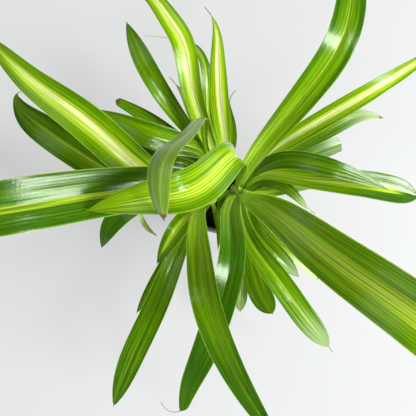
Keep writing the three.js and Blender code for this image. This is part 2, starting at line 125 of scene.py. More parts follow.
# Each leaf runs through given points of its midrib, root first, in millimetres.
# width and root: its breadth, in millimetres too. widest, thread: shares of its length where
# it is widest and where it thins to a thread. cut: share of the outline that is left.
# grow, blunt: how the outline starts and closes. face, roll: how it lies, in degrees.
# stripe: strength of the pale band along its middle. light: 0 is dark green, 1 bright.
# fall: how much darker the tip is than the root. pale: how much the tip turns
# grey-green, partly by its own fading and partly as a painted sheen. dry: share of the
# length where it turns brown.
LEAVES = {
    "leaf_east_dark": dict(
        width=17, widest=0.5, stripe=0.08, light=0.42, fall=0.3,
        path=[(23.5, 3.8, 82), (35, 22, 120), (58, 27.5, 150), (90, 20, 162), (122, 10, 155),
              (147, 1.5, 145)],
    ),
    "leaf_east_wide": dict(
        width=26, widest=0.76, blunt=3.2, grow=1.5, stripe=0.6, light=1.4, pale=0, fall=1.6,
        path=[(24.8, 4.8, 80), (40, 17.5, 106), (72, 13.5, 125), (110, 9, 137), (148, 4, 134),
              (187, -4, 120)],
    ),
    "leaf_east_low": dict(
        width=11, widest=0.6, stripe=0.5, light=0.7, pale=0.5,
        path=[(25.5, 3, 74), (50, 2, 90), (77, 7, 93), (101, 7, 88)],
    ),
    "leaf_east_twisted": dict(
        width=13, widest=0.58, thread=0.93, stripe=0.22, light=0.42, pale=0.3,
        path=[(24.5, 1.5, 76), (32, 4.2, 88), (41, 9.5, 98), (60, 6.5, 101), (77, -5, 96),
              (90, -16, 89), (97, -21, 87)],
    ),
    "leaf_right_cut_tip": dict(
        width=17.5, widest=0.66, cut=0.78, stripe=0.3, light=0.4, pale=0.3,
        path=[(24, 8.5, 73), (42, 17, 87), (70, 32, 97), (99, 43, 102), (119, 50, 101)],
    ),
    "leaf_right_pale_tip": dict(
        width=16, widest=0.62, blunt=2.8, stripe=0.2, light=0.45, pale=0.5, dry=0.97,
        path=[(23.5, 8.5, 78), (42, 23.5, 96), (68, 43, 105), (103, 61, 116), (133, 74.5, 115),
              (159, 74, 106)],
    ),
    "leaf_right_upper": dict(
        width=18, widest=0.42, stripe=0.85, light=0.8,
        path=[(19.5, 11.5, 79), (50, 41.5, 115), (83, 61.5, 140), (119, 82, 152), (169, 113, 150),
              (206, 140, 135)],
    ),
    "leaf_north_east": dict(
        width=26, widest=0.6, root=9, stripe=0.22, light=1.15, fall=1.5,
        path=[(18.5, 9, 85), (24.5, 27, 125), (42, 51, 165), (64, 78, 195), (82, 106, 208),
              (91, 139, 208), (92, 185, 192), (86, 226, 162)],
    ),
    "young_spear": dict(
        width=3.6, widest=0.3, root=3, face=200, stripe=0.1, light=0.9,
        path=[(17, 3.5, 86), (12.5, 7.5, 130), (8.5, 12, 172)],
    ),
    # Its cream band is partly a painted highlight: the broad soft sheen along its arch.
    "leaf_over_left": dict(
        width=24.5, widest=0.76, blunt=1.8, grow=1.6, face=212, stripe=0.5, light=0.4, fall=-0.3,
        path=[(13.5, 6.5, 83), (14.5, 15.5, 140), (10, 22.5, 195), (1.5, 20, 236), (-9, 8, 262),
              (-27, -5.5, 283), (-46, -9, 286), (-63, -12, 285), (-83, -16, 279)],
    ),
    "leaf_south_dark": dict(
        width=27, widest=0.4, blunt=3.6, cut=0.96, grow=0.7, thread=0.915, stripe=0.08, light=0.1,
        path=[(16.5, 0.5, 84), (7, -21, 115), (7, -53, 140), (-2, -96, 148), (-20, -152, 135),
              (-36, -200, 115), (-42, -213, 110), (-52, -214, 108), (-61, -205, 107)],
    ),
    "leaf_middle_short": dict(
        width=15, widest=0.45, root=9, face=225, stripe=0.1, light=0.4,
        path=[(10.5, 0, 80), (3.5, -3.5, 92), (0.5, -12, 99), (3, -26, 103), (7, -42, 103),
              (11, -60, 97)],
    ),
    "leaf_south_small": dict(
        width=15, widest=0.75, blunt=4, stripe=0.8, light=0.6, pale=0.3,
        path=[(16.5, -3.5, 73), (18, -46, 86), (19, -83, 92), (19, -122, 88)],
    ),
    "leaf_south_blunt": dict(
        width=24, widest=0.66, blunt=5, stripe=0.12, light=0.6, pale=0,
        path=[(18.5, -3, 75), (23.5, -32.5, 89), (29.5, -71, 101), (40.5, -104, 98), (52.5, -123, 91)],
    ),
    "leaf_south_striped": dict(
        width=22.5, widest=0.62, blunt=4.6, thread=0.965, stripe=0.2, light=0.45, pale=0.3,
        path=[(20, -3.5, 80), (27, -46, 112), (48, -77, 127), (76, -116, 124), (103, -149, 107),
              (110, -158, 103)],
    ),
    "leaf_low_short": dict(
        width=18, widest=0.6, blunt=2.4, stripe=0.15, light=0.45, pale=0.25,
        path=[(24.5, -1.5, 78), (34, -37.5, 101), (52, -59, 109), (78, -84.5, 97)],
    ),
    "leaf_low_yellow": dict(
        width=15, widest=0.5, cut=0.93, stripe=0.4, light=0.8, pale=0.45, dry=0.985,
        path=[(25.3, 0, 72.3), (35, -21, 82), (48, -43, 94), (69, -60.5, 99), (99.5, -87, 91)],
    ),
    "leaf_south_east": dict(
        width=31, widest=0.68, root=9, grow=1.2, stripe=0.55, light=1.05, fall=0.7,
        path=[(20.5, 1.5, 85), (24, -8, 150), (37, -21.5, 230), (57, -43, 281), (87, -67.5, 311.5),
              (130, -104, 317.4), (178, -142, 295.6)],
    ),
    "leaf_far_left": dict(
        width=30, widest=0.66, stripe=0.32, light=0.22, fall=0.1,
        path=[(-13.5, -3, 84), (-24, 1, 160), (-42, 0, 232), (-74, -5, 264), (-121, -15, 299),
              (-165, -24, 308), (-212, -34, 288)],
    ),
    "leaf_upper_left": dict(
        width=30, widest=0.5, blunt=1.8, stripe=0.75, light=0.58, fall=0,
        path=[(-16.5, 0, 80), (-43, 2, 150), (-69, 17, 180), (-106, 50, 195), (-152, 84.5, 195),
              (-178, 109, 188), (-205, 132, 176)],
    ),
    "leaf_left_dark": dict(
        width=28, widest=0.62, blunt=3, thread=0.965, stripe=0.24, light=0.44,
        path=[(-18, -2.5, 74.5), (-69, 3, 118), (-118, 27, 148), (-157, 53.5, 151),
              (-187.5, 83, 138), (-188.5, 88.5, 136.5), (-185, 92, 136), (-178, 90, 135)],
    ),
    "leaf_left_nodding": dict(
        width=21, widest=0.6, blunt=2.6, stripe=0.1, light=0.12,
        path=[(-18, -3.4, 79.5), (-44, -7, 127), (-72, -8, 152), (-95, -26, 157), (-111, -51, 138)],
    ),
    "leaf_left_small": dict(
        width=9.5, widest=0.72, roll=80, stripe=0.3, light=0.65, pale=0.3, dry=0.97,
        path=[(-18, -5.5, 71.5), (-50, -15, 101), (-78, -19, 114), (-74, -34, 104), (-65, -43, 98)],
    ),
    "leaf_south_west_short": dict(
        width=18, widest=0.5, stripe=0.5, light=0.38,
        path=[(-14.7, -9.2, 80.5), (-29, -18.5, 104), (-45, -37, 129), (-63.5, -68.5, 115)],
    ),
    "leaf_south_west_under": dict(
        width=16, widest=0.6, blunt=2.5, stripe=0.12, light=0.45,
        path=[(-14.5, -10, 74.5), (-33, -29.5, 89), (-54, -68.5, 100), (-88, -123, 88)],
    ),
    "leaf_south_west": dict(
        width=23, widest=0.6, blunt=3, stripe=0.18, light=0.42, fall=0.2,
        path=[(-13.5, -9.5, 76), (-31, -32, 102), (-59, -97.5, 127), (-83.5, -150, 125),
              (-109, -214, 99)],
    ),
    "leaf_south": dict(
        width=25, widest=0.42, stripe=0.22, light=1.25, fall=1.75,
        path=[(-13, -7.5, 83), (-21, -18, 112), (-23, -34, 138), (-21, -56, 160), (-16.5, -85, 180),
              (0, -133, 180), (30, -190, 165), (56, -236, 138)],
    ),
    "leaf_south_thin": dict(
        width=6, widest=0.5, root=4, stripe=0.3, light=0.5,
        path=[(-9.5, -8, 76), (-6, -22, 85), (-3, -38, 88), (-4, -58, 85)],
    ),
    "leaf_west_low": dict(
        width=22, widest=0.5, stripe=0.3, light=0.3,
        path=[(-7.5, 17, 76), (-27, 31.5, 90), (-62, 42, 101), (-97, 56, 100)],
    ),
    "leaf_west_dark": dict(
        width=24, widest=0.55, stripe=0.12, light=0.38,
        path=[(-7, 19.5, 81), (-13, 32, 94), (-22, 42, 107), (-42, 47, 119), (-68, 53, 131),
              (-117, 78, 125)],
    ),
    "leaf_west_cut_tip": dict(
        width=14, widest=0.5, cut=0.85, stripe=0.15, light=0.42, dry=0.97,
        path=[(-6.5, 23, 74), (-37, 49, 94), (-76, 75, 110), (-103, 89, 116)],
    ),
    "leaf_north_west_pointed": dict(
        width=18.5, widest=0.7, blunt=2.2, grow=1.4, stripe=0.22, light=0.5, dry=0.985,
        path=[(-4, 26, 78), (-24, 51.5, 96), (-48.5, 80, 128), (-69, 111.5, 142), (-89, 156, 135)],
    ),
    "leaf_turned_back": dict(
        width=15, widest=0.84, blunt=2.6, grow=5, root=5, face=95, stripe=0.3, light=0.5, dry=0.975,
        path=[(-2, 20, 84), (-14, 36, 135), (-17, 45, 205), (-19, 43, 248), (-29, 24, 284),
              (-38.5, 8, 302), (-39.5, -5, 303), (-38, -22, 286)],
    ),
    "leaf_north_pale": dict(
        width=9, widest=0.6, thread=0.92, stripe=0.5, light=0.7, pale=0.5,
        path=[(-2, 27.2, 75), (-12, 50, 90), (-27, 72, 103), (-38, 95, 112), (-52, 114, 108)],
    ),
    "leaf_north_west": dict(
        width=20.5, widest=0.55, stripe=0.8, light=0.76,
        path=[(-1, 25, 82), (-16, 55, 118), (-30.5, 98, 150), (-37, 129, 160), (-47, 146, 160),
              (-60, 165, 156), (-95, 196, 136)],
    ),
    "leaf_north_arched": dict(
        width=11, widest=0.5, thread=0.85, stripe=0.4, light=0.5, pale=0.5, dry=NEVER_DRY,
        path=[(0.5, 26, 78.5), (-5, 50, 98), (-13, 74, 111), (-15, 106, 125), (-24, 133, 128),
              (-45, 146, 120), (-76, 153, 112)],
    ),
    "leaf_north": dict(
        width=17, widest=0.5, thread=0.94, stripe=0.9, light=0.8,
        path=[(4.2, 24.2, 81.5), (1, 51, 115), (-4, 80, 150), (-6, 110, 165), (-12, 151, 160),
              (-17.5, 159, 157)],
    ),
    "leaf_north_narrow": dict(
        width=9, widest=0.5, thread=0.88, stripe=0.3, light=0.55,
        path=[(5, 24, 77), (10, 53, 104), (8, 72, 118), (7, 90, 120), (12.5, 98, 118)],
    ),
}


# ---- camera ----
IMAGE_SIDE = 416
FOCAL_PIXELS = 409.5
SENSOR_WIDTH = 36
CAMERA_PLACE = (-14.1 * MM, -14.6 * MM, 510 * MM)


def place_camera():
    """Straight above the plant, a little to the lower left of the pot's middle."""
    data = bpy.data.cameras.new("camera")
    data.sensor_width = SENSOR_WIDTH
    data.lens = SENSOR_WIDTH * FOCAL_PIXELS / IMAGE_SIDE
    data.clip_start = 10 * MM
    camera = bpy.data.objects.new("camera", data)
    camera.location = CAMERA_PLACE
    bpy.context.scene.collection.objects.link(camera)
    bpy.context.scene.camera = camera


# ---- building node trees ----
class Nodes:
    """Adds nodes to a tree; a value given to a node is either a number or another socket."""

    def __init__(self, tree):
        self.tree = tree

    def add(self, kind, values=None, **settings):
        node = self.tree.nodes.new(kind)
        for name, value in settings.items():
            setattr(node, name, value)
        for key, value in (values or {}).items():
            self.give(node.inputs[key], value)
        return node

    def give(self, socket, value):
        if isinstance(value, bpy.types.NodeSocket):
            self.tree.links.new(value, socket)
        else:
            socket.default_value = value

    def math(self, operation, *values, clamp=False):
        inputs = dict(enumerate(values))
        return self.add("ShaderNodeMath", inputs, operation=operation, use_clamp=clamp).outputs[0]

    def total(self, first, *others):
        for other in others:
            first = self.math("ADD", first, other)
        return first

    def product(self, first, *others):
        for other in others:
            first = self.math("MULTIPLY", first, other)
        return first

    def vector(self, operation, first, second):
        return self.add("ShaderNodeVectorMath", {0: first, 1: second}, operation=operation).outputs[0]

    def scaled(self, vector, factor):
        inputs = {0: vector, "Scale": factor}
        return self.add("ShaderNodeVectorMath", inputs, operation="SCALE").outputs[0]

    def combine(self, x, y, z):
        return self.add("ShaderNodeCombineXYZ", {0: x, 1: y, 2: z}).outputs[0]

    def split(self, vector):
        return self.add("ShaderNodeSeparateXYZ", {0: vector}).outputs

    def mix(self, share, low, high):
        return self.add("ShaderNodeMix", {0: share, 2: low, 3: high}, data_type="FLOAT").outputs[0]

    def blend(self, share, under, over, blend_type="MIX"):
        node = self.add("ShaderNodeMix", {0: share, 6: under, 7: over}, data_type="RGBA")
        node.blend_type = blend_type
        return node.outputs[2]

    def step(self, value, start, end, low=0.0, high=1.0):
        """Goes smoothly from low to high while value goes from start to end."""
        node = self.add("ShaderNodeMapRange", {0: value, 1: start, 2: end, 3: low, 4: high})
        node.interpolation_type = "SMOOTHSTEP"
        return node.outputs[0]

    def noise(self, place, scale, detail=2.0, roughness=0.5):
        return self.add(
            "ShaderNodeTexNoise",
            {"Vector": place, "Scale": scale, "Detail": detail, "Roughness": roughness},
        ).outputs[0]

    def position(self):
        return self.add("GeometryNodeInputPosition").outputs[0]

    def stored(self, name, kind):
        return self.add("GeometryNodeInputNamedAttribute", {"Name": name}, data_type=kind).outputs[0]

    def store(self, mesh, name, value, kind="FLOAT", domain="POINT"):
        return self.add(
            "GeometryNodeStoreNamedAttribute", {"Geometry": mesh, "Name": name, "Value": value},
            data_type=kind, domain=domain).outputs[0]


# ---- materials ----
DEEP_GREEN = (0.038, 0.125, 0.0004, 1)
MID_GREEN = (0.13, 0.28, 0.0006, 1)
BRIGHT_GREEN = (0.35, 0.56, 0.004, 1)
YELLOW_STRIPE = (0.45, 0.62, 0.035, 1)
CREAM_STRIPE = (0.76, 0.82, 0.32, 1)
GREY_GREEN = (0.66, 0.72, 0.52, 1)
UNDERSIDE_GREEN = (0.2, 0.33, 0.025, 1)
MARGIN_GREEN_AND_EDGE_HIGHLIGHT = (0.4, 0.52, 0.1, 1)
BASE_GREEN_AND_PAINTED_LIGHT = (0.66, 0.93, 0.1, 1)
DRY_BROWN = (0.11, 0.07, 0.025, 1)

CROWN_LOW = (0.66, 0.72, 0.4, 1)
CROWN_HIGH = (0.46, 0.66, 0.1, 1)
CROWN_LINES = (0.26, 0.4, 0.04, 1)

CLAY_DARK = (0.36, 0.34, 0.22, 1)
CLAY_LIGHT = (0.5, 0.48, 0.34, 1)
CLAY_SPECK = (0.14, 0.11, 0.06, 1)
CLAY_DAMP = (0.2, 0.17, 0.1, 1)

SOILS = {
    "damp_soil": ((0.002, 0.0016, 0.0013, 1), (0.011, 0.008, 0.006, 1)),
    "soil_crumbs": ((0.003, 0.0022, 0.0018, 1), (0.02, 0.014, 0.01, 1)),
    "bark_crumbs": ((0.02, 0.012, 0.006, 1), (0.09, 0.055, 0.03, 1)),
}

# Lines on a blade: how many in a metre of its breadth, and in a metre of its length.
BROAD_LINES = (170.0, 4.0)
STRAND_LINES = (480.0, 7.0)
VEIN_LINES = (900.0, 14.0)
WRINKLES = (500.0, 800.0)
RIB_SPACING = 1.7 * MM
# What the blade tree stores for the leaf material.
BLADE_VALUES = ("along", "across", "distance", "breadth", "under") + LEAF_LOOKS


def new_material(name, constants):
    """An empty principled material; the constants go on the shader's own sockets."""
    material = bpy.data.materials.new(name)
    material.use_nodes = True
    shader = material.node_tree.nodes["Principled BSDF"]
    for socket, value in constants.items():
        shader.inputs[socket].default_value = value
    return material, Nodes(material.node_tree), shader


def bump(nodes, shader, height, distance, strength):
    """A fine relief, as deep as the distance where height goes from 0 to 1."""
    node = nodes.add("ShaderNodeBump", {"Height": height, "Distance": distance, "Strength": strength})
    nodes.give(shader.inputs["Normal"], node.outputs[0])


def swing(nodes, value, amount):
    """A noise value as a swing of that amount, half of it either side of nothing."""
    return nodes.product(nodes.math("SUBTRACT", value, 0.5), amount)


def leaf_lines(nodes, own):
    """The patterns that run along a blade, each drawn out into lines of its own fineness."""
    # Places across the blade drift a little, so that no line runs dead straight.
    slow = nodes.combine(own["seed"], nodes.product(own["distance"], 14.0), 0.0)
    drifted = nodes.total(own["across"], swing(nodes, nodes.noise(slow, 1.0), 0.14))
    beside = nodes.product(drifted, own["breadth"], 0.5)

    def lines(density, detail):
        x, y = (nodes.product(v, d) for v, d in zip((beside, own["distance"]), density))
        return nodes.noise(nodes.combine(x, y, own["seed"]), 1.0, detail=detail, roughness=0.55)

    fine = lines(VEIN_LINES, 2.0)
    ribs = nodes.math("SINE", nodes.product(beside, 2 * math.pi / RIB_SPACING))
    blotches = nodes.combine(own["seed"], nodes.product(own["distance"], 30.0), own["across"])
    return {
        "off middle": nodes.math("ABSOLUTE", drifted),
        "broad": lines(BROAD_LINES, 1.0),
        "strand": lines(STRAND_LINES, 1.0),
        "fine": fine,
        "veins": nodes.total(fine, nodes.product(ribs, 0.08)),
        "wrinkles": lines(WRINKLES, 1.0),
        "mottle": nodes.noise(blotches, 1.6),
    }


def green_ground(nodes, own, line):
    """Green from deep to bright, darker at the margins, along some lines and to the tip."""
    tone = nodes.total(
        own["light"], swing(nodes, line["broad"], 0.5), swing(nodes, line["strand"], 0.4),
        swing(nodes, line["mottle"], 0.2))
    tone = nodes.math("SUBTRACT", tone, nodes.step(line["off middle"], 0.55, 0.95, 0.0, 0.25))
    tone = nodes.math("SUBTRACT", tone, nodes.product(own["along"], own["fall"]))
    ground = nodes.blend(nodes.step(tone, 0.0, 0.5), DEEP_GREEN, MID_GREEN)
    return nodes.blend(nodes.step(tone, 0.4, 1.0), ground, BRIGHT_GREEN)


def pale_band(nodes, own, line, colour):
    """Crisp strands down the middle, yellow at their edges and cream inside."""
    band = nodes.product(
        nodes.step(line["off middle"], 0.66, 0.08), nodes.step(own["along"], 1.02, 0.75), own["stripe"])
    strands = nodes.total(swing(nodes, line["strand"], 0.95), swing(nodes, line["broad"], 0.75))
    strands = nodes.product(strands, nodes.mix(own["stripe"], 0.2, 1.0))
    midrib = nodes.step(line["off middle"], 0.06, 0.01, 0.0, 0.12)
    strands = nodes.total(band, strands, midrib)
    colour = nodes.blend(nodes.step(strands, 0.2, 0.5), colour, YELLOW_STRIPE)
    return nodes.blend(nodes.step(strands, 0.55, 0.85), colour, CREAM_STRIPE)


def sheath_veins_margin_and_painted_light(nodes, own, line, colour):
    """Paler where the leaf leaves the crown, partly its own paler base and partly painted light
    against the shade among the crowns; veined all over, with a thin pale margin that is partly
    a painted edge highlight.
    """
    # Paler leaf bases: partly their own colour and partly painted light that lifts the shade among the
    # crowns.
    sheath_and_painted_light = nodes.product(nodes.step(own["along"], 0.3, 0.05), nodes.mix(own["light"], 0.1, 1.0))
    colour = nodes.blend(sheath_and_painted_light, colour, BASE_GREEN_AND_PAINTED_LIGHT)
    shade = nodes.step(line["veins"], 0.34, 0.64, 0.62, 1.1)
    colour = nodes.blend(1.0, colour, shade, "MULTIPLY")
    # A thin pale margin, partly the leaf's own edge and partly a painted edge highlight.
    margin = nodes.step(nodes.math("ABSOLUTE", own["across"]), 0.95, 1.0, 0.0, 0.4)
    return nodes.blend(margin, colour, MARGIN_GREEN_AND_EDGE_HIGHLIGHT)


def tip_and_underside(nodes, own, line, colour, withered):
    """A tip that turns grey-green, partly by fading and partly as a painted sheen, a greyer underside
    and a dry brown end.
    """
    # The grey-green tip is partly a painted sheen of the bright room.
    tip_reach = nodes.total(own["along"], swing(nodes, line["strand"], 0.5))
    fade_and_painted_sheen = nodes.math("MULTIPLY", nodes.step(tip_reach, 0.62, 0.95), own["pale"], clamp=True)
    colour = nodes.blend(fade_and_painted_sheen, colour, GREY_GREEN)
    streaks = nodes.step(line["strand"], 0.4, 0.7, 0.0, 0.18)
    below = nodes.blend(streaks, UNDERSIDE_GREEN, GREY_GREEN)
    colour = nodes.blend(nodes.product(own["under"], 0.7), colour, below)
    return nodes.blend(withered, colour, DRY_BROWN)


def leaf_material():
    """Waxy striped leaf; the pattern follows the blade by its own attributes."""
    material, nodes, shader = new_material("striped_leaf", {
        "Specular IOR Level": 0.22, "Specular Tint": (0.9, 1.0, 0.72, 1),
        "Subsurface Weight": 0.6, "Subsurface Radius": (0.8, 1.0, 0.15),
        "Subsurface Scale": 1.2 * MM, "Coat Weight": 0.2, "Coat Roughness": 0.22,
    })
    own = {name: nodes.add("ShaderNodeAttribute", attribute_name=name).outputs["Fac"]
           for name in BLADE_VALUES}
    line = leaf_lines(nodes, own)
    ragged = nodes.total(own["along"], swing(nodes, line["mottle"], 0.012))
    withered = nodes.step(nodes.math("SUBTRACT", ragged, own["dry"]), -0.012, 0.004)
    colour = green_ground(nodes, own, line)
    colour = pale_band(nodes, own, line, colour)
    colour = sheath_veins_margin_and_painted_light(nodes, own, line, colour)
    colour = tip_and_underside(nodes, own, line, colour, withered)
    nodes.give(shader.inputs["Base Color"], colour)

    waxy = nodes.total(0.1, nodes.product(line["fine"], 0.13))
    roughness = nodes.math("ADD", waxy, nodes.product(withered, 0.4), clamp=True)
    nodes.give(shader.inputs["Roughness"], roughness)
    relief = nodes.total(
        line["veins"], nodes.product(line["strand"], 0.8), nodes.product(line["wrinkles"], 0.5))
    bump(nodes, shader, relief, 0.2 * MM, 0.6)
    return material


def soil_material(name, dark, light):
    """Damp potting mix: near-black crumbs with a few browner ones."""
    material, nodes, shader = new_material(name, {"Roughness": 0.85, "Specular IOR Level": 0.1})
    place = nodes.add("ShaderNodeTexCoord").outputs["Object"]
    patches = nodes.noise(place, 260.0, detail=4.0, roughness=0.6)
    crumbs = nodes.noise(place, 1500.0, detail=2.0)
    browner = nodes.total(nodes.product(patches, 0.6), nodes.product(crumbs, 0.4))
    colour = nodes.blend(nodes.step(browner, 0.42, 0.68), dark, light)
    nodes.give(shader.inputs["Base Color"], colour)
    bump(nodes, shader, crumbs, 0.5 * MM, 0.8)
    return material


def drawn_out(nodes, place, scale):
    """A place scaled down along some axes, so that a pattern there is drawn out."""
    return nodes.add("ShaderNodeMapping", {"Vector": place, "Scale": scale}).outputs[0]


def crown_material():
    """Pale leaf bases wrapped round each other, whitish low down and greener above."""
    material, nodes, shader = new_material("pale_crown", {"Roughness": 0.42})
    place = nodes.add("ShaderNodeTexCoord").outputs["Object"]
    height = nodes.split(place)[2]
    lines = nodes.noise(drawn_out(nodes, place, (1.0, 1.0, 0.12)), 900.0, detail=3.0)
    colour = nodes.blend(nodes.step(height, SOIL_TOP, SOIL_TOP + 16 * MM), CROWN_LOW, CROWN_HIGH)
    colour = nodes.blend(nodes.step(lines, 0.45, 0.75), colour, CROWN_LINES)
    nodes.give(shader.inputs["Base Color"], colour)
    bump(nodes, shader, lines, 0.3 * MM, 0.5)
    return material


def stoneware_material():
    """Unglazed buff stoneware: fine speckle, throwing lines and a damp-darkened foot."""
    material, nodes, shader = new_material(
        "buff_stoneware", {"Roughness": 0.68, "Specular IOR Level": 0.35})
    place = nodes.add("ShaderNodeTexCoord").outputs["Object"]
    height = nodes.split(place)[2]
    clouds = nodes.noise(place, 45.0, detail=4.0)
    specks = nodes.noise(place, 900.0, detail=1.0)
    rings = nodes.noise(drawn_out(nodes, place, (0.06, 0.06, 1.0)), 700.0, detail=2.0)
    colour = nodes.blend(nodes.step(clouds, 0.3, 0.7), CLAY_DARK, CLAY_LIGHT)
    colour = nodes.blend(nodes.step(specks, 0.66, 0.74), colour, CLAY_SPECK)
    ragged_height = nodes.total(height, nodes.product(clouds, 12 * MM))
    damp = nodes.step(ragged_height, 16 * MM, 5 * MM, 0.0, 0.35)
    colour = nodes.blend(damp, colour, CLAY_DAMP)
    nodes.give(shader.inputs["Base Color"], colour)
    relief = nodes.total(nodes.product(rings, 0.7), nodes.product(specks, 0.3))
    bump(nodes, shader, relief, 0.35 * MM, 0.6)
    return material


def floor_material():
    """Plain pale grey that glows a little, so the shadows on it stay soft."""
    return new_material("pale_floor", {
        "Roughness": 0.7, "Base Color": (0.29, 0.29, 0.29, 1), "Specular IOR Level": 0.2,
        "Emission Color": (1, 1, 1, 1), "Emission Strength": 0.38,
    })[0]


# ---- leaf midribs ----
def spline_through(points):
    """Natural cubic spline through points, by chord length: a function of the share 0 to 1."""
    points = np.array(points, float)
    knots = np.concatenate([[0], np.cumsum(np.linalg.norm(np.diff(points, axis=0), axis=1))])
    count = len(points)
    gaps = np.diff(knots)
    system = np.eye(count)
    pulls = np.zeros_like(points)
    for i in range(1, count - 1):
        system[i, i - 1:i + 2] = gaps[i - 1] / 6, (gaps[i - 1] + gaps[i]) / 3, gaps[i] / 6
        pulls[i] = (points[i + 1] - points[i]) / gaps[i] - (points[i] - points[i - 1]) / gaps[i - 1]
    bends = np.linalg.solve(system, pulls)

    def place(share):
        s = share * knots[-1]
        i = int(np.clip(np.searchsorted(knots, s), 1, count - 1))
        h = gaps[i - 1]
        a, b = (knots[i] - s) / h, (s - knots[i - 1]) / h
        curve = (a**3 - a) * bends[i - 1] + (b**3 - b) * bends[i]
        return a * points[i - 1] + b * points[i] + curve * h * h / 6

    return place


def midrib_frames(leaf):
    """Even steps along a leaf: place, side and up at each, and the distance run so far."""
    place = spline_through([[c * MM for c in p] for p in leaf["path"]])
    track = np.array([place(i / MIDRIB_SAMPLES) for i in range(MIDRIB_SAMPLES + 1)])
    run = np.concatenate([[0], np.cumsum(np.linalg.norm(np.diff(track, axis=0), axis=1))])
    headings = np.gradient(track, axis=0)
    headings /= np.linalg.norm(headings, axis=1)[:, None]
    reach = track[-1] - track[0]
    lean = math.radians(leaf["face"]) if "face" in leaf else math.atan2(reach[1], reach[0])
    side = np.array([math.sin(lean), -math.cos(lean), 0.0])
    sides = np.zeros_like(track)
    for i, heading in enumerate(headings):
        side = side - side.dot(heading) * heading
        side /= np.linalg.norm(side)
        sides[i] = side
    return track, sides, np.cross(sides, headings), run


def midrib_object(name, leaf):
    """One point for each row of the blade, carrying the row's share, side and up."""
    track, sides, ups, run = midrib_frames(leaf)
    rows = int(np.clip(run[-1] / ROW_SPACING, FEWEST_ROWS, MOST_ROWS))
    shares = 1 - (1 - np.linspace(0, 1, rows)) ** TIP_ROWS_CLOSER

    def at(values):
        return np.stack([np.interp(shares * run[-1], run, values[:, k]) for k in range(3)], axis=1)

    mesh = bpy.data.meshes.new(name)
    mesh.from_pydata([tuple(p) for p in at(track)], [(i, i + 1) for i in range(rows - 1)], [])
    for label, values in (("side", at(sides)), ("up", at(ups))):
        attribute = mesh.attributes.new(label, "FLOAT_VECTOR", "POINT")
        attribute.data.foreach_set("vector", values.astype(np.float32).ravel())
    attribute = mesh.attributes.new("share", "FLOAT", "POINT")
    attribute.data.foreach_set("value", shares.astype(np.float32))
    midrib = bpy.data.objects.new(name, mesh)
    bpy.context.scene.collection.objects.link(midrib)
    return midrib, rows, run[-1]


# ---- geometry trees ----
BLADE_INPUTS = {
    "Midrib": "Geometry", "Rows": "Int", "Columns": "Int", "Material": "Material",
    **dict.fromkeys((
        "Length", "Width", "Widest", "Blunt", "Cut", "Grow", "Root share", "Thread start",
        "Thread width", "Base fold", "Tip fold", "Roll", "Thickness", "Ridges", "Ripple",
    ), "Float"),
    **{look.capitalize(): "Float" for look in LEAF_LOOKS},
}
CRUMB_INPUTS = {
    "Bed": "Geometry", "Density": "Float", "Smallest": "Float", "Largest": "Float",
    "Lowest": "Float", "Seed": "Int", "Crumb": "Material", "Bark": "Material",
}


def start_tree(name, inputs):
    """A geometry tree with named inputs, its node builder and what it is given."""
    tree = bpy.data.node_groups.new(name, "GeometryNodeTree")
    for label, kind in inputs.items():
        tree.interface.new_socket(label, in_out="INPUT", socket_type="NodeSocket" + kind)
    tree.interface.new_socket("Result", in_out="OUTPUT", socket_type="NodeSocketGeometry")
    nodes = Nodes(tree)
    return tree, nodes, nodes.add("NodeGroupInput").outputs


def end_tree(nodes, geometry, material, where=True):
    """Real geometry, with the material where the selection says."""
    whole = nodes.add("GeometryNodeRealizeInstances", {"Geometry": geometry}).outputs[0]
    painted = nodes.add(
        "GeometryNodeSetMaterial", {"Geometry": whole, "Selection": where, "Material": material})
    nodes.add("NodeGroupOutput", {0: painted.outputs[0]})


def half_width(nodes, given, share):
    """Half the blade's width: growing to the widest place, then closing to the tip."""
    blade_share = nodes.math("DIVIDE", share, given["Thread start"])
    t = nodes.product(blade_share, given["Cut"])
    grown = nodes.math("DIVIDE", t, given["Widest"], clamp=True)
    grown = nodes.math("POWER", grown, given["Grow"])
    swell = nodes.math("SINE", nodes.product(grown, math.pi / 2))
    rising = nodes.mix(swell, given["Root share"], 1.0)
    beyond = nodes.math("DIVIDE", nodes.math("SUBTRACT", t, given["Widest"]),
                        nodes.math("SUBTRACT", 1.0, given["Widest"]), clamp=True)
    closing = nodes.math("SUBTRACT", 1.0, nodes.math("POWER", beyond, given["Blunt"]))
    rounded = nodes.math("SQRT", nodes.step(blade_share, 1.0, TIP_ROUNDED_FROM))
    half = nodes.product(rising, closing, rounded, given["Width"], 0.5)
    thread_ends = nodes.mix(share, 0.5, 0.5 * THREAD_END_SHARE)
    return nodes.math("MAXIMUM", half, nodes.product(given["Thread width"], thread_ends))


def cross_section(nodes, given, share, across, half):
    """How far beside and above the midrib a place lies: a soft V fold, ridges and a ripple."""
    fold = nodes.mix(nodes.step(share, 0.0, FOLD_OPENS_BY), given["Base fold"], given["Tip fold"])
    squared = nodes.product(across, across)
    arms = nodes.math("SQRT", nodes.total(squared, MIDRIB_SOFTNESS**2))
    arms = nodes.math("SUBTRACT", arms, MIDRIB_SOFTNESS)
    rise = nodes.product(half, arms, nodes.math("SINE", fold))
    wave = nodes.math("COSINE", nodes.product(across, RIDGES_EACH_SIDE * 2 * math.pi))
    ridge = nodes.product(wave, nodes.math("SUBTRACT", 1.0, squared), half, given["Ridges"])
    here = nodes.combine(
        nodes.product(share, given["Length"], RIPPLES_PER_METRE), nodes.math("SIGN", across),
        given["Seed"])
    sway = nodes.math("SUBTRACT", nodes.noise(here, 1.0, detail=1.0), 0.5)
    ripple = nodes.product(sway, squared, half, given["Ripple"])
    offset = nodes.product(half, across, nodes.math("COSINE", fold))
    return offset, nodes.total(nodes.math("SUBTRACT", rise, ridge), ripple)


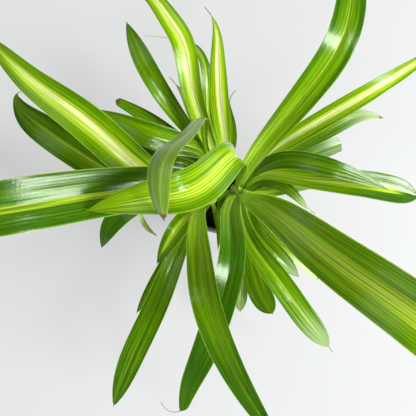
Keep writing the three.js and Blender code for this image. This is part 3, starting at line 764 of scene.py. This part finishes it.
def half_thickness(nodes, given, share, across, half):
    """Half the blade's thickness, thinning to nothing at the edges and both ends."""
    inner = nodes.math("SUBTRACT", 1.0, nodes.product(across, across))
    from_ends = nodes.product(share, nodes.math("SUBTRACT", 1.0, share))
    from_ends = nodes.math("MULTIPLY", from_ends, END_TAPER, clamp=True)
    thick = nodes.math("SQRT", nodes.math("MAXIMUM", nodes.product(inner, from_ends), 0.0))
    return nodes.product(thick, nodes.math("MINIMUM", given["Thickness"], half), 0.5)


def closed_skin(nodes, laid):
    """The laid sheet's upper and under skins, joined at the edges and smoothed."""
    def skin(direction, under):
        lift = nodes.product(nodes.stored("half_thickness", "FLOAT"), direction)
        lift = nodes.scaled(nodes.stored("above", "FLOAT_VECTOR"), lift)
        moved = nodes.add("GeometryNodeSetPosition", {"Geometry": laid, "Offset": lift}).outputs[0]
        return nodes.store(moved, "under", under, domain="FACE")

    upper = skin(1.0, 0.0)
    lower = nodes.add("GeometryNodeFlipFaces", {"Mesh": skin(-1.0, 1.0)}).outputs[0]
    both = nodes.add("GeometryNodeJoinGeometry")
    nodes.give(both.inputs[0], upper)
    nodes.give(both.inputs[0], lower)
    closed = nodes.add(
        "GeometryNodeMergeByDistance", {"Geometry": both.outputs[0], "Distance": MERGE_DISTANCE})
    smooth = nodes.add(
        "GeometryNodeSetShadeSmooth", {"Geometry": closed.outputs[0], "Shade Smooth": True},
        domain="FACE")
    angle = nodes.add("GeometryNodeInputMeshEdgeAngle").outputs["Unsigned Angle"]
    sharp = nodes.math("GREATER_THAN", angle, SHARP_ANGLE)
    return nodes.add(
        "GeometryNodeSetShadeSmooth",
        {"Geometry": smooth.outputs[0], "Selection": sharp, "Shade Smooth": False},
        domain="EDGE").outputs[0]


def blade_tree():
    """Sweeps a folded, ridged blade of leaf outline along a midrib and closes it all round."""
    tree, nodes, given = start_tree("leaf_blade", BLADE_INPUTS)
    # A flat grid: its x is the row, its y the place across the blade.
    grid = nodes.add("GeometryNodeMeshGrid", {
        "Size X": 1.0, "Size Y": 2.0, "Vertices X": given["Rows"], "Vertices Y": given["Columns"]})
    spot = nodes.split(nodes.position())
    across = spot[1]
    row = nodes.product(nodes.total(spot[0], 0.5), nodes.math("SUBTRACT", given["Rows"], 1.0))
    row = nodes.math("ROUND", row)

    def sampled(value, kind):
        """The midrib's value at this row."""
        return nodes.add(
            "GeometryNodeSampleIndex", {"Geometry": given["Midrib"], "Value": value, "Index": row},
            data_type=kind).outputs[0]

    share = sampled(nodes.stored("share", "FLOAT"), "FLOAT")
    side = sampled(nodes.stored("side", "FLOAT_VECTOR"), "FLOAT_VECTOR")
    up = sampled(nodes.stored("up", "FLOAT_VECTOR"), "FLOAT_VECTOR")
    middle = sampled(nodes.position(), "FLOAT_VECTOR")
    half = half_width(nodes, given, share)
    offset, rise = cross_section(nodes, given, share, across, half)

    # Turned about the midrib, then laid out along it.
    roll = nodes.product(given["Roll"], nodes.step(share, 0.0, 1.0))
    cosine, sine = nodes.math("COSINE", roll), nodes.math("SINE", roll)
    beside = nodes.vector("SUBTRACT", nodes.scaled(side, cosine), nodes.scaled(up, sine))
    above = nodes.vector("ADD", nodes.scaled(up, cosine), nodes.scaled(side, sine))
    place = nodes.vector("ADD", nodes.scaled(beside, offset), nodes.scaled(above, rise))
    place = nodes.vector("ADD", middle, place)

    sheet = nodes.store(grid.outputs["Mesh"], "above", above, "FLOAT_VECTOR")
    values = {
        "along": share, "across": across, "breadth": given["Width"],
        "distance": nodes.product(share, given["Length"]),
        "half_thickness": half_thickness(nodes, given, share, across, half),
    }
    for look in LEAF_LOOKS:
        values[look] = given[look.capitalize()]
    for name, value in values.items():
        sheet = nodes.store(sheet, name, value)
    laid = nodes.add("GeometryNodeSetPosition", {"Geometry": sheet, "Position": place}).outputs[0]
    end_tree(nodes, closed_skin(nodes, laid), given["Material"])
    return tree


def crumb_tree():
    """Scatters rough crumbs over the upper faces of a bed, a few of them bark."""
    tree, nodes, given = start_tree("scattered_crumbs", CRUMB_INPUTS)
    upper = nodes.math("GREATER_THAN", nodes.split(nodes.position())[2], given["Lowest"])
    spots = nodes.add("GeometryNodeDistributePointsOnFaces", {
        "Mesh": given["Bed"], "Selection": upper, "Density": given["Density"], "Seed": given["Seed"]})
    ball = nodes.add("GeometryNodeMeshIcoSphere", {"Radius": 1.0, "Subdivisions": 2}).outputs[0]
    rough = nodes.math("SUBTRACT", nodes.noise(nodes.position(), 1.7, detail=1.0), 0.5)
    knobs = nodes.scaled(nodes.position(), nodes.product(rough, 1.4))
    crumb = nodes.add("GeometryNodeSetPosition", {"Geometry": ball, "Offset": knobs}).outputs[0]
    crumb = nodes.add(
        "GeometryNodeSetMaterial", {"Geometry": crumb, "Material": given["Crumb"]}).outputs[0]

    def random_vector(low, high):
        return nodes.add("FunctionNodeRandomValue", {0: low, 1: high, "Seed": given["Seed"]},
                         data_type="FLOAT_VECTOR").outputs[0]

    size = nodes.add(
        "FunctionNodeRandomValue",
        {2: given["Smallest"], 3: given["Largest"], "Seed": given["Seed"]},
        data_type="FLOAT").outputs[1]
    placed = nodes.add("GeometryNodeInstanceOnPoints", {
        "Points": spots.outputs[0], "Instance": crumb,
        "Rotation": random_vector((0.0, 0.0, 0.0), (6.3, 6.3, 6.3)),
        "Scale": nodes.scaled(random_vector((0.6, 0.6, 0.4), (1.2, 1.0, 0.8)), size),
    }).outputs[0]
    tint = nodes.noise(nodes.position(), 330.0, detail=0.0)
    end_tree(nodes, placed, given["Bark"], nodes.math("GREATER_THAN", tint, 0.66))
    return tree


def settle(obj, tree, values):
    """Runs a tree on obj with named input values and keeps the result as a plain mesh."""
    modifier = obj.modifiers.new("grow", "NODES")
    modifier.node_group = tree
    sockets = {s.name: s.identifier for s in tree.interface.items_tree if s.in_out == "INPUT"}
    for name, value in values.items():
        modifier[sockets[name]] = value
    keep_evaluated(obj, modifier)


def keep_evaluated(obj, modifier):
    """Gives obj the mesh that its modifier makes, and takes the modifier off."""
    bpy.context.view_layer.update()
    evaluated = obj.evaluated_get(bpy.context.evaluated_depsgraph_get())
    mesh = bpy.data.meshes.new_from_object(evaluated)
    obj.modifiers.remove(modifier)
    obj.data = mesh


def hand_over(piece, slot, *nodes):
    """The piece stands still with the plant and takes the place of those nodes."""
    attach(piece, "root")
    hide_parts(*nodes)


# ---- leaves ----
def grow_leaf(node, row, tree, material, number):
    """One leaf, standing for the frame's node of the same name."""
    leaf = USUAL_LEAF | row
    leaf["seed"] = number * SEED_STEP
    leaf.setdefault("dry", leaf["thread"] if leaf["thread"] < 1 else NEVER_DRY)
    root = min(leaf["root"], ROOT_WIDTH_LIMIT * leaf["width"])
    blade, rows, length = midrib_object(f"blade_of_{node}", leaf)
    sizes = {
        "Length": length, "Width": leaf["width"] * MM, "Widest": leaf["widest"],
        "Blunt": leaf["blunt"], "Cut": leaf["cut"], "Grow": leaf["grow"],
        "Root share": root / leaf["width"], "Thread start": leaf["thread"],
        "Thread width": THREAD_WIDTH, "Base fold": BASE_FOLD, "Tip fold": TIP_FOLD,
        "Roll": math.radians(leaf["roll"]), "Thickness": LEAF_THICKNESS, "Ridges": RIDGE_DEPTH,
        "Ripple": RIPPLE_DEPTH, **{look.capitalize(): leaf[look] for look in LEAF_LOOKS},
    }
    values = {name: float(value) for name, value in sizes.items()}
    settle(blade, tree, values | {"Rows": rows, "Columns": BLADE_COLUMNS, "Material": material})
    hand_over(blade, "leaf", node)


# ---- crowns, soil and pot ----
def turned_object(name, profile, segments, wobble=None):
    """Turns a closed outline of (radius, height) about the upright axis.

    wobble(angle, radius, height) may move a point sideways; it returns (radius, height).
    """
    body = bmesh.new()
    rings = []
    for radius, height in profile:
        if radius < 1e-7:
            rings.append([body.verts.new((0, 0, height))])
            continue
        ring = []
        for k in range(segments):
            angle = 2 * math.pi * k / segments
            r, z = wobble(angle, radius, height) if wobble else (radius, height)
            ring.append(body.verts.new((r * math.cos(angle), r * math.sin(angle), z)))
        rings.append(ring)
    for lower, upper in zip(rings, rings[1:]):
        for k in range(segments):
            corners = [lower[k % len(lower)], lower[(k + 1) % len(lower)],
                       upper[(k + 1) % len(upper)], upper[k % len(upper)]]
            body.faces.new(list(dict.fromkeys(corners)))
    bmesh.ops.recalc_face_normals(body, faces=body.faces)
    mesh = bpy.data.meshes.new(name)
    body.to_mesh(mesh)
    body.free()
    mesh.shade_smooth()
    piece = bpy.data.objects.new(name, mesh)
    bpy.context.scene.collection.objects.link(piece)
    return piece


def move_mesh(piece, x, y):
    """Moves the mesh over the ground, so that its object stays at the origin."""
    piece.data.transform(Matrix.Translation((x, y, 0)))


def make_crown(node, crown, material):
    """A short stem of leaf bases that wrap round each other."""
    radius, height = crown["radius"] * MM, crown["height"] * MM
    foot = SOIL_TOP + SEAT_GAP
    profile = [(0, foot)]
    for i in range(CROWN_LEVELS):
        share = i / CROWN_LEVELS
        profile.append((radius * (1 - share**CROWN_SHOULDER) ** 0.5, foot + height * share))
    profile.append((0, foot + height))

    def wrapped(angle, r, z):
        share = (z - foot) / height
        turn = (angle * crown["sheaths"] / (2 * math.pi) + share * SHEATH_TWIST) % 1.0
        return r * (1 - SHEATH_STEP * turn), z

    piece = turned_object(f"wrapped_{node}", profile, CROWN_SEGMENTS, wrapped)
    x, y = crown["centre"]
    move_mesh(piece, x * MM, y * MM)
    piece.data.materials.append(material)
    hand_over(piece, "crown", node)


def inside_radius(z):
    """Radius of the pot's inside at a height."""
    floor_outer_r = BASE_OUTER_R + (RIM_OUTER_R - BASE_OUTER_R) * FLOOR_THICKNESS / POT_HEIGHT
    low = floor_outer_r - WALL
    share = (z - FLOOR_THICKNESS) / (POT_HEIGHT - INNER_EDGE_R - FLOOR_THICKNESS)
    return low + (RIM_INNER_R - low) * share


def arc(centre_r, centre_z, size, start, end):
    """A rounded edge of a profile, between two angles in degrees."""
    angles = [math.radians(a) for a in np.linspace(start, end, EDGE_POINTS)]
    return [(centre_r + size * math.cos(a), centre_z + size * math.sin(a)) for a in angles]


def make_pot(material):
    """A thrown tapered pot with a rounded rim and drainage holes through its floor."""
    outer_top = POT_HEIGHT - OUTER_EDGE_R
    inner_top = POT_HEIGHT - INNER_EDGE_R
    profile = [(0, 0), (BASE_OUTER_R * 0.5, 0), (BASE_OUTER_R - FOOT_EDGE_R, 0)]
    profile += arc(BASE_OUTER_R - FOOT_EDGE_R, FOOT_EDGE_R, FOOT_EDGE_R, -80, -5)
    for i in range(1, WALL_STEPS):
        r = BASE_OUTER_R + (RIM_OUTER_R - BASE_OUTER_R) * i / WALL_STEPS - WALL_INSET
        profile.append((r, FOOT_EDGE_R + (outer_top - FOOT_EDGE_R) * i / WALL_STEPS))
    profile += arc(RIM_OUTER_R - OUTER_EDGE_R, outer_top, OUTER_EDGE_R, 0, 90)
    profile += arc(RIM_INNER_R + INNER_EDGE_R, inner_top, INNER_EDGE_R, 90, 180)
    for i in range(1, WALL_STEPS):
        z = inner_top - (inner_top - FLOOR_THICKNESS) * i / WALL_STEPS
        profile.append((inside_radius(z), z))
    for r in (inside_radius(FLOOR_THICKNESS), BASE_OUTER_R * 0.5, 0):
        profile.append((r, FLOOR_THICKNESS))
    pot = turned_object("stoneware_pot", profile, POT_SEGMENTS)
    pot.data.materials.append(material)
    for i in range(DRAIN_HOLE_COUNT):
        angle = 2 * math.pi * i / DRAIN_HOLE_COUNT
        drill_hole(pot, DRAIN_RING_R * math.cos(angle), DRAIN_RING_R * math.sin(angle))
    hand_over(pot, "pot", "pot")


def drill_hole(pot, x, y):
    """Cuts one drainage hole through the floor at x, y."""
    bottom, top = -2 * FLOOR_THICKNESS, 4 * FLOOR_THICKNESS
    outline = [(0, bottom), (DRAIN_HOLE_R, bottom), (DRAIN_HOLE_R, top), (0, top)]
    drill = turned_object("drill", outline, DRILL_SEGMENTS)
    move_mesh(drill, x, y)
    cut = pot.modifiers.new("cut", "BOOLEAN")
    cut.operation = "DIFFERENCE"
    cut.solver = "EXACT"
    cut.object = drill
    keep_evaluated(pot, cut)
    bpy.data.objects.remove(drill)


def make_soil(mix, crumb, bark):
    """A lumpy bed of potting mix with loose crumbs scattered on top."""
    foot = FLOOR_THICKNESS + SEAT_GAP
    profile = [(0, foot), (inside_radius(foot) - SOIL_FOOT_INSET, foot)]
    for i in range(1, SOIL_SIDE_STEPS + 1):
        z = foot + (SOIL_TOP - SOIL_BEVEL - foot) * i / SOIL_SIDE_STEPS
        profile.append((inside_radius(z) - SOIL_SIDE_INSET, z))
    edge = inside_radius(SOIL_TOP) - SOIL_TOP_INSET
    for i in range(SOIL_RINGS):
        profile.append((edge * (1 - i / SOIL_RINGS), SOIL_TOP))
    profile.append((0, SOIL_TOP))

    def lumpy(angle, r, z):
        if z < SOIL_TOP - 1e-6:
            return r, z
        spot = Vector((r * math.cos(angle), r * math.sin(angle), 0)) * LUMPS_PER_METRE
        lump = noise.noise(spot) * LUMP_HEIGHT
        lump += noise.noise(spot * SMALL_LUMPS_CLOSER) * SMALL_LUMP_HEIGHT
        return r, z + lump - LUMPS_SINK_BY

    soil = turned_object("potting_mix", profile, SOIL_SEGMENTS, lumpy)
    soil.data.materials.append(mix)
    hand_over(soil, "soil", "soil")

    crumbs = bpy.data.objects.new("potting_mix_crumbs", soil.data.copy())
    bpy.context.scene.collection.objects.link(crumbs)
    settle(crumbs, crumb_tree(), {
        "Density": CRUMBS_PER_SQUARE_METRE, "Smallest": SMALLEST_CRUMB, "Largest": LARGEST_CRUMB,
        "Lowest": SOIL_TOP - CRUMBS_REACH_DOWN, "Seed": CRUMB_SEED, "Crumb": crumb, "Bark": bark})
    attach(crumbs, "root")


# ---- stage and light ----
STAGE_REACH = 3.0
STAGE_DROP = 0.4 * MM
LAMP_COLOUR = (0.96, 0.985, 1.0)
LAMP_AIM = Vector((0, 0, 0.12))
LAMP_DISTANCE = 2.2
# Bearing and elevation in degrees. A lamp that isn't glossy lights the leaves without
# showing in them as a highlight.
LAMPS = {
    "east_window": dict(bearing=353, elevation=35, size=(0.54, 1.65), watts=90.0),
    "high_east_window": dict(bearing=14, elevation=57, size=(0.36, 0.32), watts=9.0),
    "north_west_window": dict(bearing=122, elevation=56, size=(1.3, 1.3), watts=8.0),
    "south_fill": dict(bearing=285, elevation=45, size=(1.3, 1.3), watts=7.0, glossy=False),
    "south_west_fill": dict(bearing=235, elevation=38, size=(1.8, 1.8), watts=20.0, glossy=False),
}


def make_stage():
    """A plain pale floor, a bright even room and soft lamps round the plant."""
    mesh = bpy.data.meshes.new("floor")
    corners = [(x * STAGE_REACH, y * STAGE_REACH, 0) for x, y in ((-1, -1), (1, -1), (1, 1), (-1, 1))]
    mesh.from_pydata(corners, [], [(0, 1, 2, 3)])
    mesh.materials.append(floor_material())
    floor = bpy.data.objects.new("floor", mesh)
    floor.location.z = -STAGE_DROP
    bpy.context.scene.collection.objects.link(floor)
    light_room()
    for name, lamp in LAMPS.items():
        add_lamp(name, **lamp)
    bpy.context.scene.view_settings.view_transform = "Standard"


def light_room():
    """An even room whose ceiling is dimmer than its walls, so flat leaves keep their colour."""
    world = bpy.data.worlds.new("even_room")
    bpy.context.scene.world = world
    world.use_nodes = True
    nodes = Nodes(world.node_tree)
    backdrop = world.node_tree.nodes["Background"]
    backdrop.inputs["Color"].default_value = (0.95, 0.98, 1.0, 1)
    direction = nodes.add("ShaderNodeTexCoord").outputs["Generated"]
    nodes.give(backdrop.inputs["Strength"], nodes.step(nodes.split(direction)[2], 0.4, 0.95, 0.18, 0.08))


def add_lamp(name, bearing, elevation, size, watts, glossy=True):
    """A soft oblong lamp aimed at the plant's middle."""
    data = bpy.data.lights.new(name, "AREA")
    data.energy, data.color = watts, LAMP_COLOUR
    data.shape = "RECTANGLE"
    data.size, data.size_y = size
    turn, tilt = math.radians(bearing), math.radians(elevation)
    flat = math.cos(tilt)
    direction = Vector((flat * math.cos(turn), flat * math.sin(turn), math.sin(tilt)))
    lamp = bpy.data.objects.new(name, data)
    lamp.location = LAMP_AIM + direction * LAMP_DISTANCE
    lamp.rotation_euler = direction.to_track_quat("Z", "Y").to_euler()
    lamp.visible_glossy = glossy
    bpy.context.scene.collection.objects.link(lamp)


# ---- the plant ----
place_camera()
blade = blade_tree()
striped_leaf = leaf_material()
for number, (node, leaf) in enumerate(LEAVES.items(), start=1):
    grow_leaf(node, leaf, blade, striped_leaf, number)
pale_crown = crown_material()
for node, crown in CROWNS.items():
    make_crown(node, crown, pale_crown)
make_soil(*(soil_material(name, dark, light) for name, (dark, light) in SOILS.items()))
make_pot(stoneware_material())
make_stage()

bpy.context.view_layer.update()
